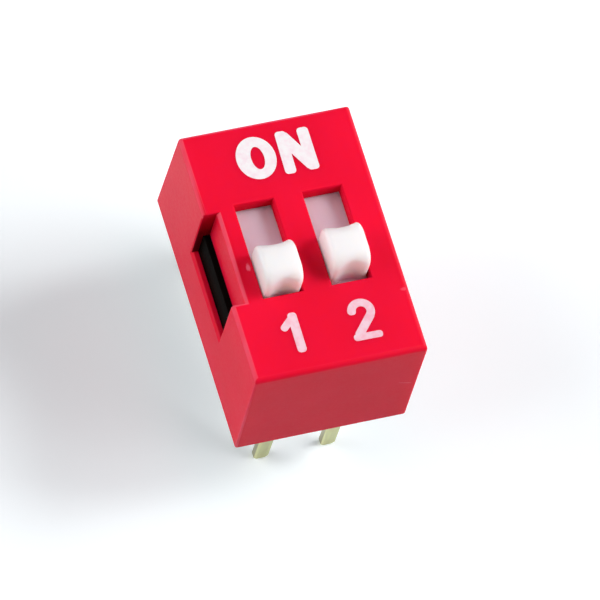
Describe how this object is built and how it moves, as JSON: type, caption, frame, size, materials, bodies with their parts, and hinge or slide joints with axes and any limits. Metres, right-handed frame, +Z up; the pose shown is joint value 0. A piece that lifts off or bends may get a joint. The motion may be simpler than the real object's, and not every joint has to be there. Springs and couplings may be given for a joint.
{
  "type": "dip switch",
  "caption": "Slide-type DIP switch with a red cover, white slide knobs and straight through-hole solder pins.",
  "frame": {"origin": "on the plane of the pin tips, midway between the pins", "axes": "+X from position 1 to position 2, +Y towards the ON end, +Z up out of the knobs"},
  "size_m": [0.0064, 0.01, 0.0102],
  "materials": {
    "cover_red": "moulded satin gloss",
    "base_black": "moulded matt",
    "potting": "cast resin",
    "slider_white": "moulded satin",
    "contact_gilt": "gold-plated spring strip",
    "pin_gilt": "thinly plated strip, sheared edges"
  },
  "bodies": {
    "housing": {"cover": "cover_red", "base": "base_black", "seal": "potting", "terminal_1_off": "pin_gilt", "terminal_1_on": "pin_gilt", "terminal_2_off": "pin_gilt", "terminal_2_on": "pin_gilt"},
    "slide_1": {"slider_1": "slider_white", "contact_1": "contact_gilt"},
    "slide_2": {"slider_2": "slider_white", "contact_2": "contact_gilt"}
  },
  "joints": [
    {"name": "slide_1_travel", "type": "slide", "parent": "housing", "child": "slide_1", "axis": [0, 1, 0], "range_m": [0, 0.00191]},
    {"name": "slide_2_travel", "type": "slide", "parent": "housing", "child": "slide_2", "axis": [0, 1, 0], "range_m": [-0.00015, 0.00176]}
  ]
}
